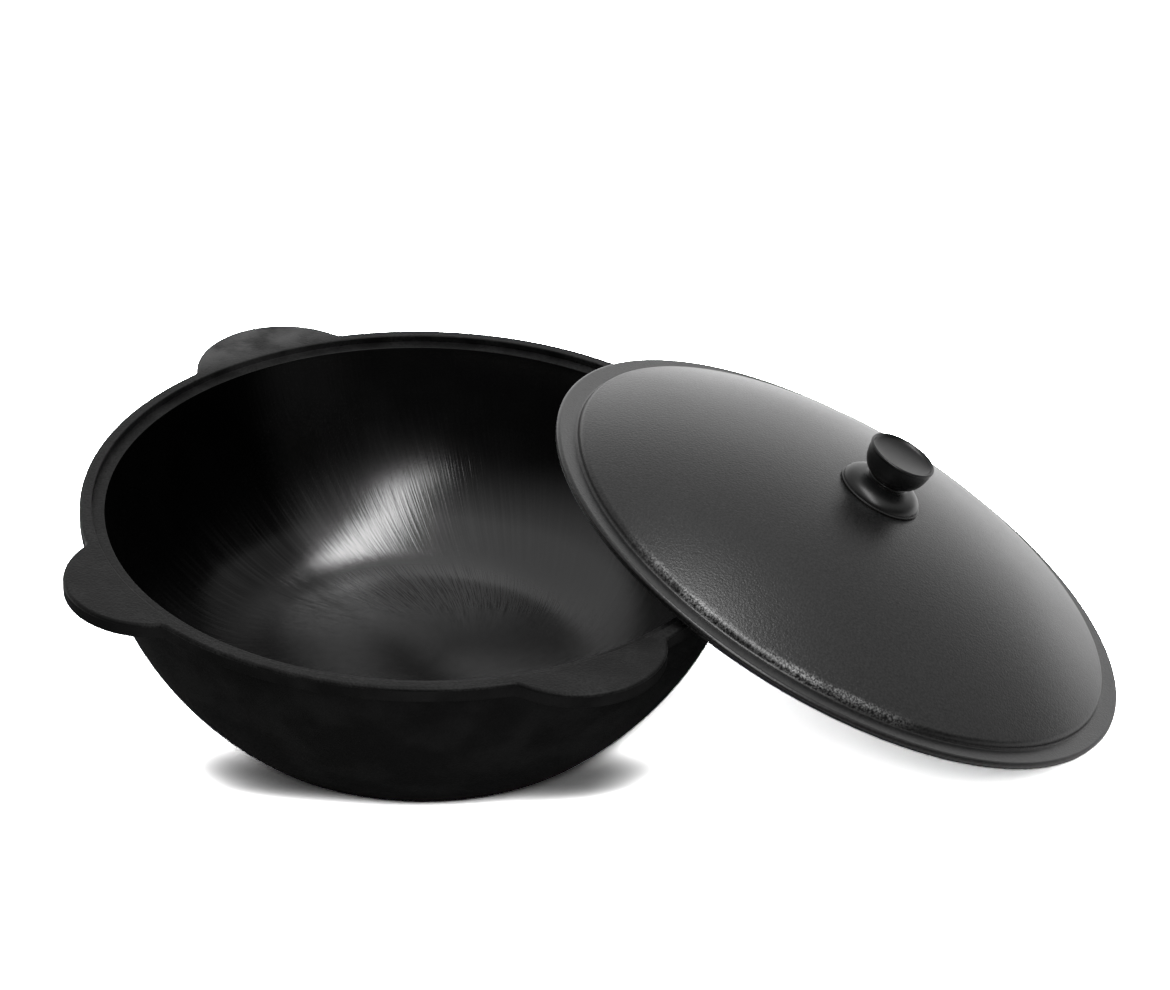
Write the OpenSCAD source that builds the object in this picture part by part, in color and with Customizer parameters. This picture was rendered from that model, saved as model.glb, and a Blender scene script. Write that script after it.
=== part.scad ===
// Kazan: a deep round cast-iron pot with a stepped rim and four flat ears, and a
// domed lid with a turned knob that leans against it.
// The floor is z = 0, the pot stands upright with its axis on z, all sizes are in mm.

/* [Pot] */

// Outside diameter of the flat rim, without the ears
rim_diameter = 380; // [320:1:460]
// Height of the pot from the floor to the top of the rim
pot_height = 124; // [103:1:148]
// Diameter of the base, measured to the corner before it is rounded
base_diameter = 232; // [192:1:276]
// Height of the plain band round the rim, which is the thickness of the ears too
rim_band = 8.5; // [7:0.5:10.5]
// How far the rim stands out over the bowl's outside wall
rim_overhang = 7.6; // [6:0.1:9.2]
// Thickness of the bowl's wall
wall = 7; // [5:0.5:8.5]
// Thickness of the bowl's bottom
bottom = 7; // [5:0.5:9]
// Radius that rounds the base's outer corner
base_round = 14; // [11:1:17]
// Radius inside the bowl where its wall turns into its bottom
inner_round = 70; // [58:1:84]
// Radius that softens the rim's and the ears' edges
edge_round = 2; // [1.6:0.1:2.4]

/* [Step inside the rim] */

// Width of the step that carries the lid
step_width = 7; // [5.8:0.1:8.4]
// Depth of the step below the top of the rim
step_depth = 3.8; // [3:0.1:4.6]

/* [Ears] */

// Radius of the round end of an ear
ear_radius = 50; // [42:1:58]
// How far an ear stands out beyond the rim
ear_reach = 25.5; // [22:0.5:30]
// Radius of the hollow corner where an ear leaves the rim
ear_root = 7; // [5.8:0.1:8.4]
// Direction of the first ear, the other three follow at right angles
ear_turn = 28.5; // [24:0.5:34]

/* [Lid] */

// Gap all round between the lid's edge and the wall of the step
lid_gap = 3.6; // [3:0.1:4.3]
// Thickness of the flat edge round the lid
lid_edge = 4.5; // [3.8:0.1:5.4]
// Width of the flat edge, from the outside to the foot of the dome
lid_edge_width = 12; // [10:0.5:14]
// Height of the dome above the underside of the flat edge
lid_height = 50; // [42:0.5:59]
// Thickness of the dome
lid_wall = 3.5; // [3:0.1:4.2]
// Radius of the hollow corner at the foot of the dome
dome_foot = 1.5; // [1.2:0.1:1.8]
// Radius of the dome's shoulder above that corner
dome_shoulder = 4; // [3.3:0.1:4.8]
// How far the lower part of the lid's edge is set back
lid_setback = 0.8; // [0.7:0.05:0.95]

/* [How the lid leans] */

// Height of the lid's upper edge above the top of the rim
lean_rise = 31.8; // [26:0.1:38]
// Direction in which the lid slopes down
lean_turn = 2.5; // [2:0.1:3]
// Air left between the lid and the pot where it rests on the rim
rest_gap = 0.3; // [0.25:0.01:0.36]

/* [Knob] */

// Diameter of the knob's base
knob_base = 49; // [41:0.5:58]
// Diameter of the knob's head
knob_head = 40; // [34:0.5:47]
// Diameter of the knob's waist
knob_waist = 22; // [19:0.5:26]
// Height of the knob
knob_height = 27.8; // [23.1:0.1:33]
// Depth of the dish in the top of the head
knob_dish = 4; // [3.3:0.1:4.7]

/* [Screw] */

// Diameter of the screw that holds the knob
screw_diameter = 6; // [5:0.1:7.1]
// Diameter of the screw's head
screw_head = 12; // [10:0.1:14]
// Height of the screw's head
screw_head_height = 4; // [3.3:0.1:4.8]
// How far the screw reaches up into the knob
screw_reach = 14; // [11.7:0.1:16.6]

/* [Hidden] */

fine = 180;
mid = 96;

// Points of an arc about (cx, cz), from angle a0 to angle a1 in n steps
function arc(cx, cz, r, a0, a1, n) =
    [for (i = [0:n]) [cx + r * cos(a0 + (a1 - a0) * i / n), cz + r * sin(a0 + (a1 - a0) * i / n)]];

// The bowl: its outside wall is part of a ball that passes under the rim and through the base's corner
rim_radius = rim_diameter / 2;
under_rim = pot_height - rim_band;
neck_radius = rim_radius - rim_overhang;
corner_radius = base_diameter / 2;
ball_z = (pow(neck_radius, 2) - pow(corner_radius, 2) + pow(under_rim, 2)) / (2 * under_rim);
ball_radius = sqrt(pow(corner_radius, 2) + pow(ball_z, 2));
inner_ball = ball_radius - wall;

// Where a ball of radius r about ball_z runs into a corner of radius c standing on the level z
function turn_x(r, c, z) = sqrt(pow(r - c, 2) - pow(ball_z - z - c, 2));
function turn_angle(r, c, z) = atan2(z + c - ball_z, turn_x(r, c, z));
base_x = turn_x(ball_radius, base_round, 0);
base_angle = turn_angle(ball_radius, base_round, 0);
floor_x = turn_x(inner_ball, inner_round, bottom);
floor_angle = turn_angle(inner_ball, inner_round, bottom);

step_z = pot_height - step_depth;
step_inner = sqrt(pow(inner_ball, 2) - pow(ball_z - step_z, 2));
step_outer = step_inner + step_width;
soft = edge_round / 3;

// The ears: a disc that pokes out beyond the rim. Its faces and those of its hollow corners lie
// a hair inside the rim's, so that no two faces fall in one plane
ear_x = rim_radius + ear_reach - ear_radius;
ear_sink = 0.05;
corner_sink = 0.1;
// Centre of the circle that fills the hollow corner between ear and rim
root_sink = 0.15;
root_far = rim_radius + ear_root - root_sink;
root_near = ear_radius + ear_root - root_sink;
root_angle = acos((pow(root_far, 2) + pow(ear_x, 2) - pow(root_near, 2)) / (2 * root_far * ear_x));
root_x = root_far * cos(root_angle);
root_y = root_far * sin(root_angle);
root_start = root_angle + 180;
root_end = 360 + atan2(-root_y, ear_x - root_x);

// The lid in its own frame: z = 0 is the underside of its flat edge
lid_radius = step_outer - lid_gap;
lid_foot = lid_radius - lid_edge_width;
lid_low = lid_radius - lid_setback;
lid_low_height = lid_edge * 0.4;
// The dome is part of a ball that runs into its shoulder, which stands on the foot's hollow corner
foot_z = lid_edge + dome_foot;
shoulder_x = lid_foot - dome_shoulder;
dome_ball = (pow(shoulder_x, 2) + pow(lid_height - foot_z, 2) - pow(dome_shoulder, 2))
    / (2 * (lid_height - foot_z - dome_shoulder));
dome_z = lid_height - dome_ball;
dome_end = asin(shoulder_x / (dome_ball - dome_shoulder));
inner_dome = dome_ball - lid_wall;
hollow_end = asin((lid_foot - lid_wall) / inner_dome);
hollow_radius = lid_foot - lid_wall + 0.4;

// Height of the lid's underside over its own plane at the distance r from its axis
function under(r) = r > lid_radius ? 1000 : r > hollow_radius ? 0 : dome_z + sqrt(pow(inner_dome, 2) - r * r);

// The lean: the lid stands on the floor with its lower edge and rests on the pot
lean = asin((pot_height + lean_rise) / (2 * lid_low));
lean_z = lid_low * sin(lean);

// Air between the lid's underside and the point p of the pot, with the lid's centre at the distance d
function along(p, d) = p[0] * cos(lean_turn) + p[1] * sin(lean_turn) - d;
function across(p) = p[1] * cos(lean_turn) - p[0] * sin(lean_turn);
function down(p, d) = along(p, d) * cos(lean) - (p[2] - lean_z) * sin(lean);
function above(p, d) = along(p, d) * sin(lean) + (p[2] - lean_z) * cos(lean);
function air(p, d) = under(norm([down(p, d), across(p)])) - above(p, d);

// Points over the softened upper edge of the rim, of the ears and of their hollow corners
function over_edge(x, y, a) = [for (b = [0:18:90])
    [x + edge_round * (cos(b) - 1) * cos(a), y + edge_round * (cos(b) - 1) * sin(a),
     pot_height + edge_round * (sin(b) - 1)]];
function turned(p, a) = [p[0] * cos(a) - p[1] * sin(a), p[0] * sin(a) + p[1] * cos(a), p[2]];
rim_points = [for (a = [-90:90], p = over_edge(rim_radius * cos(a), rim_radius * sin(a), a)) p];
ear_points = [for (k = [0:3], a = [-84:3:84],
    p = over_edge(ear_x + ear_radius * cos(a), ear_radius * sin(a), a)) turned(p, ear_turn + 90 * k)];
root_points = [for (k = [0:3], s = [-1, 1], i = [0:6]) turned([
    root_x + ear_root * cos(root_start + (root_end - root_start) * i / 6),
    s * (root_y + ear_root * sin(root_start + (root_end - root_start) * i / 6)),
    pot_height], ear_turn + 90 * k)];
pot_points = concat(rim_points, ear_points, root_points);
function least_air(d) = min([for (p = pot_points) air(p, d)]);

// The nearest distance at which the lid just rests on the pot, found by halving
function settle(near, far, n) = n == 0 ? far
    : least_air((near + far) / 2) >= rest_gap ? settle(near, (near + far) / 2, n - 1)
    : settle((near + far) / 2, far, n - 1);
lean_distance = settle(lid_radius / 2, rim_radius + ear_reach + lid_radius, 26);

// The knob stands on a flat ground on top of the dome
seat_radius = knob_base / 2 + 0.4;
seat_z = dome_z + sqrt(pow(dome_ball, 2) - pow(seat_radius, 2));
// The screw's head bears on a small flat inside the lid
flat_radius = screw_head / 2 + 0.6;
screw_z = dome_z + sqrt(pow(inner_dome, 2) - pow(flat_radius, 2));
screw_play = 0.15;

module pot_body() {
    rotate_extrude($fn = fine) polygon(concat(
        [[0, 0], [base_x, 0]],
        arc(base_x, base_round, base_round, -80, base_angle, 5),
        arc(0, ball_z, ball_radius, base_angle + 2.5, asin((under_rim - ball_z) / ball_radius), 12),
        arc(rim_radius - soft, under_rim + soft, soft, -90, 0, 3),
        arc(rim_radius - edge_round, pot_height - edge_round, edge_round, 0, 90, 5),
        arc(step_outer + soft, pot_height - soft, soft, 90, 180, 3),
        [[step_outer, step_z]],
        arc(step_inner + soft, step_z - soft, soft, 90, 150, 2),
        arc(0, ball_z, inner_ball, asin((step_z - 1.5 - ball_z) / inner_ball), floor_angle, 12),
        arc(floor_x, bottom + inner_round, inner_round, floor_angle - 4, -86, 11),
        [[floor_x, bottom], [0, bottom]]
    ));
}

module ear_disc() {
    thick = rim_band - 2 * ear_sink;
    translate([ear_x, 0, under_rim + ear_sink]) rotate_extrude($fn = mid) polygon(concat(
        [[0, 0]],
        arc(ear_radius - soft, soft, soft, -90, 0, 3),
        arc(ear_radius - edge_round, thick - edge_round, edge_round, 0, 90, 5),
        [[0, thick]]
    ));
}

module ear_corner() {
    thick = rim_band - 2 * corner_sink;
    deep = (rim_radius - step_outer) / 2;
    into_ear = (ear_radius - deep) / root_near;
    into_rim = (rim_radius - deep) / root_far;
    translate([0, 0, under_rim + corner_sink]) difference() {
        linear_extrude(thick) polygon([
            [ear_x + (root_x - ear_x) * into_ear, root_y * into_ear],
            [root_x * into_rim, root_y * into_rim],
            [root_x, root_y]
        ]);
        translate([root_x, root_y, 0]) rotate_extrude($fn = 48) polygon(concat(
            [[0, -1], [ear_root + soft, -1]],
            arc(ear_root + soft, soft, soft, 270, 180, 3),
            arc(ear_root + edge_round, thick - edge_round, edge_round, 180, 90, 5),
            [[ear_root + edge_round, thick + 1], [0, thick + 1]]
        ));
    }
}

// Round hole that keeps the ears out of the step and the bowl
module step_bore() {
    translate([0, 0, under_rim - 1]) cylinder(h = rim_band + 2, r = step_outer + soft + 0.5, $fn = fine);
}

module ear() {
    difference() {
        ear_disc();
        step_bore();
    }
    ear_corner();
    mirror([0, 1, 0]) ear_corner();
}

module pot() {
    color("#26272a") {
        pot_body();
        for (k = [0:3]) rotate([0, 0, ear_turn + 90 * k]) ear();
    }
}

module lean_place() {
    rotate([0, 0, lean_turn]) translate([lean_distance, 0, lean_z]) rotate([0, lean, 0]) children();
}

module lid() {
    color("#3c3d40") lean_place() difference() {
        rotate_extrude($fn = fine) polygon(concat(
            [[0, seat_z], [0, screw_z]],
            arc(0, dome_z, inner_dome, 90 - asin(flat_radius / inner_dome), 90 - hollow_end, 14),
            [[hollow_radius, 0], [lid_low, 0], [lid_low, lid_low_height]],
            arc(lid_radius - 0.7, lid_low_height + 0.7, 0.7, -90, 0, 2),
            arc(lid_radius - 1.9, lid_edge - 1.9, 1.9, 0, 84, 4),
            arc(lid_foot + dome_foot, foot_z, dome_foot, -90, -180, 4),
            arc(shoulder_x, foot_z, dome_shoulder, 16, 90 - dome_end, 4),
            arc(0, dome_z, dome_ball, 92 - dome_end, 90 - asin(seat_radius / dome_ball), 12)
        ));
        cylinder(h = lid_height + 1, r = screw_diameter / 2 + screw_play, $fn = 48);
    }
}

module knob() {
    waist = knob_waist / 2;
    head = knob_head / 2;
    foot = knob_base / 2;
    color("#121214") lean_place() translate([0, 0, seat_z]) difference() {
        rotate_extrude($fn = mid) polygon(concat(
            [[0, 0], [foot - 0.4, 0], [foot, 0.4], [foot, 1.1]],
            [for (i = [0:8]) [waist + 0.4 + (foot - 0.8 - waist - 0.4) * cos(10 * i),
                1.5 + (knob_height * 0.3 - 1.5) * sin(10 * i)]],
            arc(waist, knob_height * 0.36, 1.1, -50, 50, 5),
            [for (i = [0:9]) [waist + (head - 0.6 - waist) * sin(10 * i),
                knob_height - 1.4 - (knob_height * 0.59 - 1.4) * cos(10 * i)]],
            arc(head - 1, knob_height - 1, 1, 0, 110, 4),
            [for (i = [0:8]) [(head - 2) * cos(11.25 * i), knob_height - 0.9 - (knob_dish - 0.9) * sin(11.25 * i)]]
        ));
        translate([0, 0, -1]) cylinder(h = screw_reach + 2, r = screw_diameter / 2 + screw_play, $fn = 48);
    }
}

module screw() {
    color("#8b8d92") lean_place() {
        translate([0, 0, screw_z - 0.02 - screw_head_height]) difference() {
            rotate_extrude($fn = 48) polygon([
                [0, 0], [screw_head * 0.36, 0], [screw_head * 0.45, screw_head_height * 0.22],
                [screw_head * 0.5, screw_head_height * 0.6], [screw_head * 0.5, screw_head_height],
                [0, screw_head_height]
            ]);
            translate([-screw_head, -0.7, -1]) cube([2 * screw_head, 1.4, 1 + screw_head_height * 0.45]);
        }
        translate([0, 0, screw_z - 0.5]) cylinder(h = seat_z - screw_z + 0.5 + screw_reach - 1,
            r = screw_diameter / 2, $fn = 48);
    }
}

pot();
lid();
knob();
screw();
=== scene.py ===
# %% [markdown]
# # A cast-iron kazan with its lid leaning against it
#
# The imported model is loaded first, as a fixed frame. Its four pieces are the pot, the lid, the
# knob and the screw under the knob. The screw is shown as it is packed. The pot, the lid and the
# knob are turned again below on the same profiles, with far more steps, because a highlight on
# dark iron shows every facet.

# %% Load the frame
import math
import bpy
from mathutils import Matrix, Vector


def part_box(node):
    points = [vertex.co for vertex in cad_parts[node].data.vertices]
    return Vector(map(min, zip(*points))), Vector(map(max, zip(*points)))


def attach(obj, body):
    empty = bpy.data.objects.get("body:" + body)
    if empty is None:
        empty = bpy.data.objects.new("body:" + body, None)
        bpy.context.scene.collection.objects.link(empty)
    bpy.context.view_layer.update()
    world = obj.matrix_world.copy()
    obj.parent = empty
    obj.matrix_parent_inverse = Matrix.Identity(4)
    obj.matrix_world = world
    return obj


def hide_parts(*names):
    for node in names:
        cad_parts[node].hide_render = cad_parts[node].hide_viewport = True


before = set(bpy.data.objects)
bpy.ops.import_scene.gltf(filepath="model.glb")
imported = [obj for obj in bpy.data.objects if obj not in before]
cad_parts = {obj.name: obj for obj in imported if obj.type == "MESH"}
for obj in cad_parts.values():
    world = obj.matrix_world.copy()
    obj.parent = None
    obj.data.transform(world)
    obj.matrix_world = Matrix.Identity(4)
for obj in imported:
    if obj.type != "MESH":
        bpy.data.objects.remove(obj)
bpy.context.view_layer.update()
pot_low, pot_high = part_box("pot")
lid_low_corner, lid_high_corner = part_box("lid")
print("pot", [round(v, 4) for v in (*pot_low, *pot_high)])
print("lid", [round(v, 4) for v in (*lid_low_corner, *lid_high_corner)])
bpy.ops.object.select_all(action="DESELECT")

# %% [markdown]
# ## Camera
#
# The photograph was taken from a few steps away with a long lens, from about 31 degrees above
# the table. The numbers come from fitting the pot's rim, its ears, the bowl's outline and the
# lid's edge to the picture.

# %% Camera
camera_height = math.radians(31.443)
camera_turn = math.radians(-3.154)
camera_roll = math.radians(1.824)
camera_place = (-0.04373, -2.4315, 1.61601)
turned = (Matrix.Rotation(camera_turn, 3, "Z")
          @ Matrix.Rotation(math.pi / 2 - camera_height, 3, "X")
          @ Matrix.Rotation(camera_roll, 3, "Z"))
bpy.ops.object.camera_add(location=camera_place, rotation=turned.to_euler())
camera = bpy.context.object
camera.data.lens = 157.97
camera.data.sensor_width = 36
camera.data.clip_start = 0.1
camera.data.clip_end = 50
bpy.context.scene.camera = camera
bpy.context.scene.view_settings.view_transform = "Standard"
print("camera", [round(v, 3) for v in camera.location])

# %% [markdown]
# ## Shader maths
#
# A material's pattern is a sum of masks. Written as a Python expression it reads like the
# formula it is, so one small class wraps a socket and adds a Math node for each operator. A
# second class holds one material, with its coordinates and the patterns that all of them use.

# %% Shader maths helper
class Value:
    """A node's output. Each operator used on it adds a Math node."""

    def __init__(self, tree, socket):
        self.tree, self.socket = tree, socket

    def node(self, kind, settings=None, **inputs):
        """A new node: its settings, then its inputs by name, or by number as _0 and _1."""
        made = self.tree.nodes.new(kind)
        for key, what in (settings or {}).items():
            setattr(made, key, what)
        for key, what in inputs.items():
            name = int(key[1:]) if key[0] == "_" else key.replace("_", " ")
            if isinstance(what, Value):
                self.tree.links.new(what.socket, made.inputs[name])
            else:
                made.inputs[name].default_value = what
        return made

    def out(self, made, name=0):
        return Value(self.tree, made.outputs[name])

    def math(self, operation, *values):
        inputs = {f"_{i}": v for i, v in enumerate(values)}
        return self.out(self.node("ShaderNodeMath", {"operation": operation}, **inputs))

    def __add__(self, other):
        return self.math("ADD", self, other)

    def __radd__(self, other):
        return self.math("ADD", other, self)

    def __sub__(self, other):
        return self.math("SUBTRACT", self, other)

    def __rsub__(self, other):
        return self.math("SUBTRACT", other, self)

    def __mul__(self, other):
        return self.math("MULTIPLY", self, other)

    def __rmul__(self, other):
        return self.math("MULTIPLY", other, self)

    def ramp(self, low, high):
        """A mask that rises softly from 0 at the low value to 1 at the high one."""
        return self.out(self.node("ShaderNodeMapRange", {"interpolation_type": "SMOOTHSTEP"},
            Value=self, From_Min=low, From_Max=high), "Result")


class Finish:
    """One material: its shader, its object coordinates, and noise at a size given in metres."""

    def __init__(self, name):
        self.material = bpy.data.materials.new(name)
        self.material.use_nodes = True
        self.tree = self.material.node_tree
        self.shader = self.tree.nodes["Principled BSDF"]
        place = self.tree.nodes.new("ShaderNodeTexCoord")
        self.place = Value(self.tree, place.outputs["Object"])
        split = self.place.node("ShaderNodeSeparateXYZ", _0=self.place)
        self.x, self.y, self.z = (Value(self.tree, o) for o in split.outputs)

    def noise(self, size, detail=3.0, roughness=0.55, place=None):
        made = self.place.node("ShaderNodeTexNoise", Vector=place or self.place,
            Scale=1 / size, Detail=detail, Roughness=roughness)
        return Value(self.tree, made.outputs["Fac"])

    def along(self, direction, start):
        """The distance from a start point, measured along a direction."""
        made = self.place.node("ShaderNodeVectorMath", {"operation": "DOT_PRODUCT"},
            _0=self.place, _1=tuple(direction))
        return Value(self.tree, made.outputs["Value"]) - start.dot(direction)

    def mix(self, factor, first, second):
        made = self.place.node("ShaderNodeMix", {"data_type": "RGBA"})
        for name, what in (("Factor_Float", factor), ("A_Color", first), ("B_Color", second)):
            socket = next(s for s in made.inputs if s.identifier == name)
            if isinstance(what, Value):
                self.tree.links.new(what.socket, socket)
            else:
                socket.default_value = what
        return Value(self.tree, next(s for s in made.outputs if s.identifier == "Result_Color"))

    def feed(self, name, value):
        self.tree.links.new(value.socket, self.shader.inputs[name])

    def shine(self, level):
        """How much the surface mirrors: 0.5 is ordinary, and 0 is not at all."""
        self.shader.inputs["Specular IOR Level"].default_value = level

    def bump(self, height, depth):
        made = self.place.node("ShaderNodeBump", Height=height, Distance=depth)
        self.tree.links.new(made.outputs["Normal"], self.shader.inputs["Normal"])


def grey(level):
    return (level, level, level, 1)


# Noise keeps near a half. Between these two values its clouds go from none to full.
CLOUDY = (0.35, 0.7)

# %% [markdown]
# ## The pot's three skins
#
# The pot is seasoned cast iron, nearly black, with three kinds of surface. Outside, the skin
# keeps the grain of the sand mould. The rim, its step and the ears are the same, rubbed
# smoother by hands and by the lid. The ear at the back left is painted lighter: its mask is
# the distance from the axis toward that ear, and starts inside the rim.

# %% Cast skin
cast_skin = Finish("cast_skin")
grain = cast_skin.noise(0.0016, 2.0)
clouds = cast_skin.noise(0.03, 3.0)
cast_skin.feed("Base Color", cast_skin.mix(clouds.ramp(*CLOUDY), grey(0.007), grey(0.012)))
cast_skin.feed("Roughness", 0.52 + clouds * 0.1)
cast_skin.bump(grain, 0.0003)
cast_skin.shine(0.01)

# %% Rim and ears
rim_skin = Finish("rim_skin")
grain = rim_skin.noise(0.0013, 2.0)
clouds = rim_skin.noise(0.02, 3.0)
iron = rim_skin.mix(clouds.ramp(*CLOUDY) * grain.ramp(0.3, 0.6), grey(0.002), grey(0.012))
toward_back_ear = rim_skin.y * 0.88 - rim_skin.x * 0.47
# Painted lighter: the ear at the back left, in mottled patches.
back_ear_lighter = toward_back_ear.ramp(0.175, 0.2) * clouds.ramp(0.2, 0.6)
rim_skin.feed("Base Color", rim_skin.mix(back_ear_lighter, iron, grey(0.07)))
rim_skin.feed("Roughness", 0.46 + clouds * 0.12)
rim_skin.bump(grain, 0.00025)
rim_skin.shine(0.17)

# %% [markdown]
# ## The ground inside
#
# Inside, the bowl was ground: fine scratches run down the wall and over the bottom, a little
# askew, like the arms of a wheel. They are noise stretched along spirals, so the coordinates
# are turned by an angle that grows with the distance to the axis, and then divided by it.
#
# Three masks lie over it. The far half of the bottom is painted a lighter grey, a painted
# reflection. Low on the wall the scratches are painted lighter: real scratches with a painted
# highlight in them. The left and the front mirror less than the rest: they are partly metallic,
# because a metal mirrors only as much as its colour says.
#
# The roughness stays below 0.27 everywhere inside, and above 0.28 on all the other pieces. The
# render's denoiser handles surfaces apart above and below 0.274, so a finish that passes this
# value draws a thin broken line.

# %% Ground inside
ground = Finish("ground_inside")
askew, scratches_round, scratches_down = 0.53, 150, 70
radius = ground.x.math("SQRT", ground.x * ground.x + ground.y * ground.y + 1e-6)
twist = -askew * radius.math("LOGARITHM", radius, math.e)
arms = ground.place.node("ShaderNodeVectorRotate", {"rotation_type": "Z_AXIS"},
    Vector=ground.place, Angle=twist)
arm = ground.place.node("ShaderNodeSeparateXYZ", _0=ground.place.out(arms))
arm_x, arm_y = (ground.place.out(arm, i) for i in (0, 1))
spiral = ground.place.node("ShaderNodeCombineXYZ",
    X=arm_x.math("DIVIDE", arm_x, radius) * scratches_round,
    Y=arm_y.math("DIVIDE", arm_y, radius) * scratches_round,
    Z=(radius - ground.z) * scratches_down)
scratches = ground.noise(1.0, 2.0, 0.6, place=ground.place.out(spiral))
clouds = ground.noise(0.03, 3.0)
iron = ground.mix(clouds.ramp(*CLOUDY), grey(0.001), grey(0.002))
# Painted reflection: the far half of the bottom is painted a lighter grey.
far_bottom_reflection = (1 - radius.ramp(0.1, 0.125)) * ground.y.ramp(0.02, 0.075)
# Low on the wall the scratches are painted lighter: real scratches with a painted highlight.
scratch_highlights = scratches.ramp(0.48, 0.62) * (0.06 - ground.z).ramp(0.0, 0.03)
# The left and the front are made partly metallic, so that they mirror less.
left_and_front = (-0.8 * ground.x - ground.y * 0.6).ramp(-0.03, 0.0)
bottom_centre = (0.1 - radius).ramp(0.0, 0.04)
iron = ground.mix(far_bottom_reflection, iron, grey(0.045))
ground.feed("Base Color", ground.mix(scratch_highlights, iron, grey(0.013)))
ground.feed("Roughness", 0.145 + clouds * 0.04 + scratches * 0.06 + bottom_centre * 0.05)
ground.feed("Metallic", left_and_front * 0.76)
ground.bump(scratches, 0.0001)
ground.shine(1.0)

# %% [markdown]
# ## Knob and screw
#
# The knob is satin black plastic. The screw that holds it is plain steel, inside the lid.

# %% Knob and screw finish
knob_black = Finish("knob_gloss")
clouds = knob_black.noise(0.01, 2.0)
knob_black.feed("Base Color", knob_black.mix(clouds, grey(0.004), grey(0.006)))
knob_black.feed("Roughness", 0.3 + clouds * 0.1)
knob_black.shine(0.4)

screw_steel = Finish("plain_steel")
clouds = screw_steel.noise(0.002, 2.0)
screw_steel.feed("Base Color", screw_steel.mix(clouds, grey(0.4), grey(0.5)))
screw_steel.feed("Roughness", 0.3 + clouds * 0.1)
screw_steel.shader.inputs["Metallic"].default_value = 1.0
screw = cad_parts["screw"]
screw.data.materials.clear()
screw.data.materials.append(screw_steel.material)

# %% [markdown]
# ## A lathe made of rings
#
# The pot, the lid and the knob are all round. A helper turns such a piece as by hand: it adds a
# filled circle, and then extrudes its edge again and again, scaling and lifting the new ring to
# the next point of the profile. All profiles are in millimetres, like the part's own drawing.

# %% Lathe
MM = 0.001
# What is closer to the axis than this, in millimetres, lies on it
ON_AXIS = 0.01


def arc(cx, cz, r, first, last, steps, rise=None):
    """Points from one angle to another on a circle, or on an ellipse of the given rise."""
    turn = [math.radians(first + (last - first) * i / steps) for i in range(steps + 1)]
    return [(cx + r * math.cos(t), cz + (rise or r) * math.sin(t)) for t in turn]


def turned_piece(name, steps, profile):
    """Spins a profile that starts and ends on the axis, from the underside out and back in."""
    inner = [(r, z) for r, z in profile if r > ON_AXIS]
    radius, height = inner[0]
    bpy.ops.object.select_all(action="DESELECT")
    bpy.ops.mesh.primitive_circle_add(vertices=steps, radius=radius * MM, fill_type="TRIFAN",
        location=(0, 0, height * MM))
    piece = bpy.context.object
    piece.name = name
    bpy.ops.object.transform_apply(location=True, rotation=True, scale=True)
    for vertex in piece.data.vertices:
        if vertex.co.xy.length < ON_AXIS * MM:
            vertex.co.z = profile[0][1] * MM
    bpy.ops.object.mode_set(mode="EDIT")
    bpy.ops.mesh.select_all(action="SELECT")
    bpy.ops.mesh.region_to_loop()
    for next_radius, next_height in inner[1:]:
        bpy.ops.mesh.extrude_edges_move()
        bpy.ops.transform.resize(value=(next_radius / radius, next_radius / radius, 1),
            center_override=(0, 0, 0))
        bpy.ops.transform.translate(value=(0, 0, (next_height - height) * MM))
        radius, height = next_radius, next_height
    bpy.ops.mesh.extrude_edges_move()
    bpy.ops.mesh.merge(type="CENTER")
    bpy.ops.transform.translate(value=(0, 0, (profile[-1][1] - height) * MM))
    bpy.ops.mesh.select_all(action="SELECT")
    bpy.ops.mesh.normals_make_consistent(inside=False)
    bpy.ops.object.mode_set(mode="OBJECT")
    print(name, len(piece.data.polygons), "faces")
    return piece


def select_only(piece):
    bpy.ops.object.select_all(action="DESELECT")
    piece.select_set(True)
    bpy.context.view_layer.objects.active = piece


def smooth(piece, degrees=35):
    """Smooth shading that keeps flat faces flat, with its normals stored in the mesh."""
    select_only(piece)
    bpy.ops.object.shade_smooth_by_angle(angle=math.radians(degrees))
    weighted = piece.modifiers.new("flat_faces", "WEIGHTED_NORMAL")
    weighted.keep_sharp = True
    bpy.ops.object.modifier_apply(modifier=weighted.name)


def finished(piece, node, slot, *finishes):
    """Hands a piece over with its finishes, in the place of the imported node."""
    piece.data.materials.clear()
    for finish in finishes:
        piece.data.materials.append(finish.material)
    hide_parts(node)
    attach(piece, "root")

# %% [markdown]
# ## The pot
#
# Outside, the wall is part of a ball that passes under the rim and stands on a rounded base.
# The rim is a flat band with a step inside it, where the lid would sit. The inside wall is a
# ball about the same centre and runs into the flat bottom in a wide curve, which fades out
# softly, so that no line shows where the bottom starts.
#
# Where one arc runs into the next, the next one starts some degrees later, so that no two rings
# fall together.

# %% Pot profile
rim, neck, base_corner, top, under_rim = 190.0, 182.4, 116.0, 124.0, 115.5
base_round, bottom, inner_round, edge_round, soft = 14.0, 7.0, 70.0, 2.0, 2 / 3
pot_wall, step_depth, step_width = 7.0, 3.8, 7.0
ball_z = (neck ** 2 - base_corner ** 2 + under_rim ** 2) / (2 * under_rim)
outer_ball = math.hypot(base_corner, ball_z)
inner_ball = outer_ball - pot_wall


def corner_x(ball, corner, level):
    """The distance from the axis at which a round corner runs from a level into the ball."""
    return math.sqrt((ball - corner) ** 2 - (ball_z - level - corner) ** 2)


def corner_angle(ball, corner, level):
    """The angle at which that corner meets the ball."""
    return math.degrees(math.atan2(level + corner - ball_z, corner_x(ball, corner, level)))


def on_ball(ball, height):
    """The angle at which the ball passes a height."""
    return math.degrees(math.asin((height - ball_z) / ball))


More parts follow.
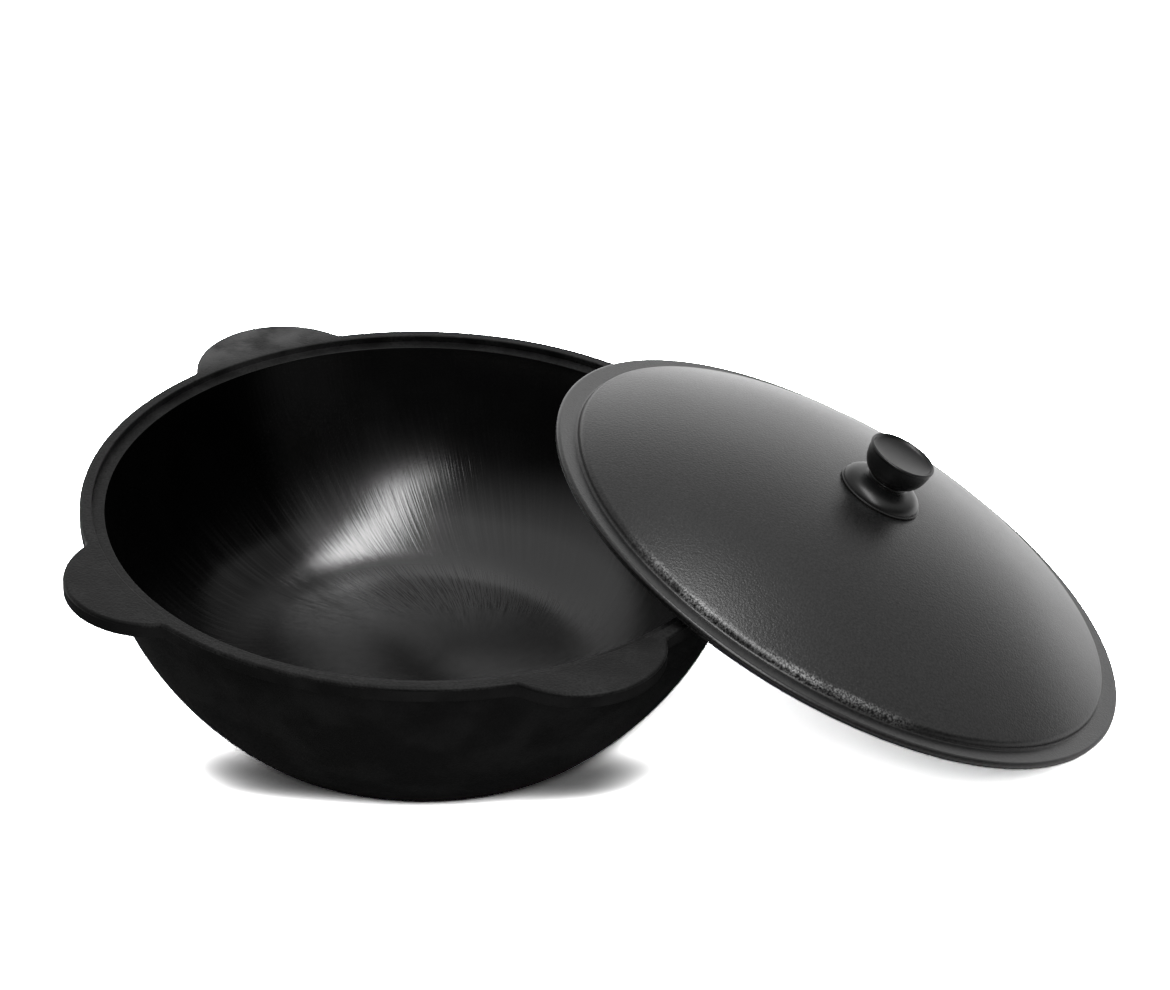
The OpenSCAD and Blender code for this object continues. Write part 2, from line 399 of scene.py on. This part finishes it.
base_x = corner_x(outer_ball, base_round, 0)
base_angle = corner_angle(outer_ball, base_round, 0)
floor_x = corner_x(inner_ball, inner_round, bottom)
floor_angle = corner_angle(inner_ball, inner_round, bottom)
step_z = top - step_depth
step_inner = math.sqrt(inner_ball ** 2 - (ball_z - step_z) ** 2)
step_outer = step_inner + step_width

# The last 20 degrees of the inner curve give way to a power curve of the same slope
blend = math.radians(20)
blend_x = floor_x + inner_round * math.sin(blend)
blend_rise = inner_round * (1 - math.cos(blend))
blend_power = math.tan(blend) * blend_x / blend_rise
blend_shares = (0.97, 0.94, 0.91, 0.88, 0.85, 0.82, 0.79, 0.75, 0.7, 0.6, 0.4)
pot_profile = (
    [(0, 0), (base_x, 0)]
    + arc(base_x, base_round, base_round, -78, base_angle, 7)
    + arc(0, ball_z, outer_ball, base_angle + 2, on_ball(outer_ball, under_rim), 24)
    + arc(rim - soft, under_rim + soft, soft, -90, 0, 3)
    + arc(rim - edge_round, top - edge_round, edge_round, 0, 90, 6)
    + arc(step_outer + soft, top - soft, soft, 90, 180, 3)
    + [(step_outer, step_z)]
    + arc(step_inner + soft, step_z - soft, soft, 90, 150, 3)
    + arc(0, ball_z, inner_ball, on_ball(inner_ball, step_z - 1.5), floor_angle, 24)
    + arc(floor_x, bottom + inner_round, inner_round, floor_angle - 3, -70, 12)
    + [(blend_x * s, bottom + blend_rise * s ** blend_power) for s in blend_shares]
    + [(0, bottom)])
pot = turned_piece("pot_shell", 720, pot_profile)

# %% [markdown]
# ## The ears
#
# Four flat ears stand out from the rim. Seen from above, the outline of rim and ears is made of
# three circles: the rim's, the ear's own, and a small one that fills the corner between them.
# The vertices of the rim's outer edge are moved out to that outline, along its own normal, so
# that the rounded edge keeps its shape all the way round.

# %% Ears
ear_radius, ear_reach, ear_root, ear_turn = 50.0, 25.5, 7.0, 28.5
ear_x = rim + ear_reach - ear_radius
far, near = rim + ear_root, ear_radius + ear_root
root_angle = math.acos((far ** 2 + ear_x ** 2 - near ** 2) / (2 * far * ear_x))
root = Vector((far * math.cos(root_angle), far * math.sin(root_angle)))
meet = (Vector((ear_x, 0)) * ear_root + root * ear_radius) / near
meet_angle = math.atan2(meet.y, meet.x)


def outline(angle):
    """Point and outward normal of the outline at this angle from the middle of an ear."""
    side = 1 if angle >= 0 else -1
    a = abs(angle)
    ray = Vector((math.cos(a), math.sin(a)))
    if a < meet_angle:
        reach = ear_x * ray.x + math.sqrt(ear_radius ** 2 - (ear_x * ray.y) ** 2)
        point = ray * reach
        normal = (point - Vector((ear_x, 0))).normalized()
    elif a < root_angle:
        off = math.sin(root_angle - a) * far
        reach = math.cos(root_angle - a) * far - math.sqrt(ear_root ** 2 - off ** 2)
        point = ray * reach
        normal = (root - point).normalized()
    else:
        point, normal = ray * rim, ray
    return Vector((point.x, side * point.y)), Vector((normal.x, side * normal.y))


moved = 0
for vertex in pot.data.vertices:
    reach = vertex.co.xy.length / MM
    if reach > rim - edge_round - 0.1:
        angle = math.atan2(vertex.co.y, vertex.co.x) - math.radians(ear_turn)
        quarter = round(angle / (math.pi / 2)) * math.pi / 2
        point, normal = outline(angle - quarter)
        place = (point + normal * (reach - rim)) * MM
        place.rotate(Matrix.Rotation(quarter + math.radians(ear_turn), 2))
        vertex.co.x, vertex.co.y = place
        moved += 1
print("vertices of the rim's edge moved:", moved)
smooth(pot)
finished(pot, "pot", "pot_iron", cast_skin, rim_skin, ground)
for face in pot.data.polygons:
    reach, height = face.center.xy.length / MM, face.center.z / MM
    inside = math.hypot(reach, height - ball_z) < inner_ball + 1 and height > bottom - 0.5
    upper = height > top - edge_round or (height > under_rim and reach < step_outer + 1)
    face.material_index = 2 if inside and height < step_z - 0.5 else 1 if upper else 0

# %% [markdown]
# ## The lid
#
# The lid is turned in its own frame, with the underside of its flat edge at zero, and is then
# laid on its place: it stands on the floor with its lower edge and leans on the pot's rim. Its
# lean comes from how far its upper edge rises over the pot's. Its distance from the pot is the
# one that the part's source works out, so that it just rests on the rim. The knob stands on a
# small flat on top of the dome, and the screw's head bears on another one inside.

# %% Lid profile
lid_gap, lid_edge_width, lid_setback = 3.6, 12, 0.8
lid_radius, lid_edge, lid_top, lid_wall = step_outer - lid_gap, 4.5, 50.0, 3.5
lid_foot, lid_low = lid_radius - lid_edge_width, lid_radius - lid_setback
low_height, lower_round, upper_round = 1.8, 0.7, 1.9
dome_foot, dome_shoulder = 1.5, 4.0
foot_z, shoulder_x = lid_edge + dome_foot, lid_foot - dome_shoulder
dome_ball = ((shoulder_x ** 2 + (lid_top - foot_z) ** 2 - dome_shoulder ** 2)
             / (2 * (lid_top - foot_z - dome_shoulder)))
dome_z = lid_top - dome_ball
dome_end = math.degrees(math.asin(shoulder_x / (dome_ball - dome_shoulder)))
inner_dome = dome_ball - lid_wall
hollow_end = math.degrees(math.asin((lid_foot - lid_wall) / inner_dome))
hollow_radius = lid_foot - lid_wall + 0.4
screw_flat, knob_foot = 6.6, 24.5
seat_radius = knob_foot + 0.4
seat_angle = math.degrees(math.asin(seat_radius / dome_ball))
seat_z = dome_z + math.sqrt(dome_ball ** 2 - seat_radius ** 2)
screw_z = dome_z + math.sqrt(inner_dome ** 2 - screw_flat ** 2)
lid_profile = (
    [(0, screw_z), (screw_flat, screw_z)]
    + arc(0, dome_z, inner_dome, 87, 90 - hollow_end, 24)
    + [(hollow_radius, 0), (lid_low, 0), (lid_low, low_height)]
    + arc(lid_radius - lower_round, low_height + lower_round, lower_round, -90, 0, 3)
    + arc(lid_radius - upper_round, lid_edge - upper_round, upper_round, 0, 90, 6)
    + arc(lid_foot + dome_foot, foot_z, dome_foot, -90, -180, 4)
    + arc(shoulder_x, foot_z, dome_shoulder, 8, 90 - dome_end, 6)
    + arc(0, dome_z, dome_ball, 91 - dome_end, 90 - seat_angle, 30)
    + [(0, seat_z)])
lid = turned_piece("lid_shell", 360, lid_profile)

# %% Lid in its place
lean_rise, lean_distance = 31.8, 234.66
lean_turn = math.radians(2.5)
lean = math.asin((top + lean_rise) / (2 * lid_low))
lean_z = lid_low * math.sin(lean)
lean_place = (Matrix.Rotation(lean_turn, 4, "Z")
              @ Matrix.Translation((lean_distance * MM, 0, lean_z * MM))
              @ Matrix.Rotation(lean, 4, "Y"))


def lay_on(piece):
    """Moves a piece from the lid's own frame to where the lid leans."""
    piece.matrix_world = lean_place
    select_only(piece)
    bpy.ops.object.transform_apply(location=True, rotation=True, scale=True)


lay_on(lid)
smooth(lid)

# %% [markdown]
# ## Iron of the lid
#
# The lid is the same iron, with a satin, finely grained face that takes the light. Where the
# dome meets the flat edge a glint is painted: small bright flecks in a band along its lower
# left side, with some more just above, a painted highlight. The band is found by the distance
# from the lid's own axis, measured along the lid.

# %% Lid iron
lid_iron = Finish("lid_satin")
axes = lean_place.to_3x3()
along, across = (lid_iron.along(axes.col[i], lean_place.translation) for i in (0, 1))
ring = along.math("SQRT", along * along + across * across)
grain = lid_iron.noise(0.0013, 2.0)
clouds = lid_iron.noise(0.04, 3.0)
# Painted highlight: bright flecks where the dome's foot glints on the lower left side.
toward_lower_left = -0.454 * along - across * 0.891
side = toward_lower_left.ramp(0.135, 0.158) * clouds.ramp(0.25, 0.6)
speckle = lid_iron.noise(0.0012, 3.0, 0.7)
glint_at_foot = ring.ramp(0.1625, 0.1655) * (1 - ring.ramp(0.1668, 0.1682)) * side
glint_above = ring.ramp(0.150, 0.166) * (1 - ring.ramp(0.1665, 0.168)) * side
painted_glints = glint_at_foot * speckle.ramp(0.42, 0.62) + glint_above * speckle.ramp(0.6, 0.75) * 0.5
iron = lid_iron.mix(speckle.ramp(0.35, 0.65), grey(0.002), grey(0.013))
lid_iron.feed("Base Color", lid_iron.mix(painted_glints, iron, grey(0.28)))
lid_iron.feed("Roughness", 0.27 + clouds * 0.06 + speckle * 0.06)
lid_iron.bump(grain, 0.00018)
finished(lid, "lid", "lid_iron", lid_iron)
low, high = (Vector([f(v.co[i] for v in lid.data.vertices) for i in range(3)])
    for f in (min, max))
off = zip((*low, *high), (*lid_low_corner, *lid_high_corner))
print("lid off the frame's by (mm)", [round((a - b) / MM, 2) for a, b in off])

# %% [markdown]
# ## The knob
#
# A turned knob: a thin-edged bell for a base, a narrow waist with a bead, and a cup-shaped head
# with a shallow dish in its top. The bell ends at three tenths of the height, the bead's centre
# lies a little above that, and the cup fills the upper six tenths.

# %% Knob profile
waist, head, knob_top, dish = 11.0, 20.0, 27.8, 4.0
bell_edge, bell_top, bead_z, cup_depth = 1.5, knob_top * 0.3, knob_top * 0.36, knob_top * 0.59
cup_edge, dish_edge = 1.4, 0.9
knob_profile = (
    [(0, 0), (knob_foot - 0.4, 0), (knob_foot, 0.4), (knob_foot, 1.1)]
    + arc(waist + 0.4, bell_edge, knob_foot - 0.8 - waist - 0.4, 0, 84, 14,
          rise=bell_top - bell_edge)
    + arc(waist, bead_z, 1.1, -50, 50, 8)
    + arc(waist, knob_top - cup_edge, head - 0.6 - waist, -84, 0, 14, rise=cup_depth - cup_edge)
    + arc(head - 1, knob_top - 1, 1, 0, 110, 6)
    + arc(0, knob_top - dish_edge, head - 2, 0, -82.5, 11, rise=dish - dish_edge)
    + [(0, knob_top - dish)])
knob = turned_piece("knob_turned", 144, [(r, z + seat_z) for r, z in knob_profile])
lay_on(knob)
smooth(knob, 50)
finished(knob, "knob", "knob_black", knob_black)

# %% [markdown]
# ## Floor and light
#
# The floor is white to the camera: what looks white is the floor's own colour, set far above
# one. It falls to a plain level in a band beside the base, on the camera's side, so that the
# soft contact shadow shows there and nowhere else, as in the photograph. The fall is a power
# and not a straight line, which keeps the band's ends soft. To reflections the floor is bright
# behind the pot and dark in front of it.

# %% Floor
bpy.ops.mesh.primitive_plane_add(size=16, location=(0, 0, -0.0002))
floor = bpy.context.object
floor.name = "studio_floor"
white = Finish("studio_white")
path = white.tree.nodes.new("ShaderNodeLightPath")
camera_ray, glossy_ray, through_ray = (Value(white.tree, path.outputs[name])
    for name in ("Is Camera Ray", "Is Glossy Ray", "Is Transmission Ray"))
mirrored = white.mix(white.y.ramp(-0.5, 0.9), grey(0.2), grey(2.5))
aside = white.x - 0.004
from_axis = white.x.math("SQRT", aside * aside + white.y * white.y)
band = white.y.ramp(-0.125, -0.098) * (1 - white.y.ramp(-0.092, -0.055))
shade = band * (1 - from_axis.ramp(0.125, 0.18))
overbright, in_shade = 20, 0.046
visible = overbright * shade.math("POWER", in_shade, shade)
reflected = white.mix(glossy_ray + through_ray, grey(0.8), mirrored)
white.feed("Base Color", white.mix(camera_ray, reflected, visible))
white.shader.inputs["Roughness"].default_value = 0.9
white.shine(0.0)
floor.data.materials.append(white.material)

# %% [markdown]
# ## The studio round the pot
#
# Iron this dark shows little but reflections, so the room matters more than the lamps. The
# photograph's room is bright behind, half as bright above and dark on the camera's side: that's
# why the far wall of the bowl is black and the lid brightens towards its far edge. The world is
# white to the camera and shades from a white back to a dark front for all other rays. The
# bright crescent inside the bowl is the reflection of one long softbox over the right side. Its
# place and size were found by following the crescent's edges back to a level plane above.

# %% World
world = bpy.data.worlds.new("studio")
bpy.context.scene.world = world
world.use_nodes = True
sky = world.node_tree
background = sky.nodes["Background"]
background.inputs["Color"].default_value = (1, 1, 1, 1)
toward = Value(sky, sky.nodes.new("ShaderNodeTexCoord").outputs["Generated"])
toward_split = toward.node("ShaderNodeSeparateXYZ", _0=toward)
back, up = (toward.out(toward_split, i) for i in (1, 2))
seen = Value(sky, sky.nodes.new("ShaderNodeLightPath").outputs["Is Camera Ray"])
front_level, ceiling_level, wall_level = 0.008, 0.55, 0.95
ceiling = (up + back * 0.5).ramp(0.0, 0.6)
back_wall = back.ramp(0.55, 1.0) * (1 - 0.7 * up.ramp(0.25, 0.55))
room = front_level + ceiling_level * ceiling + wall_level * back_wall
strength = seen + (1 - seen) * room
sky.links.new(strength.socket, background.inputs["Strength"])

# %% Lamps
def softbox(name, place, width, length, power, turn=0.0):
    """A soft lamp that hangs level, out of the camera's sight."""
    bpy.ops.object.light_add(type="AREA", location=place, rotation=(0, 0, math.radians(turn)))
    lamp = bpy.context.object
    lamp.name = name
    lamp.data.shape = "RECTANGLE"
    lamp.data.size, lamp.data.size_y = width, length
    lamp.data.energy = power
    lamp.visible_camera = False
    print(name, power, "W")


softbox("long_softbox", (0.335, -0.62, 1.3), width=0.32, length=1.8, power=18, turn=-3)
softbox("front_softbox", (0.02, -1.7, 1.3), width=0.5, length=0.4, power=2.4)
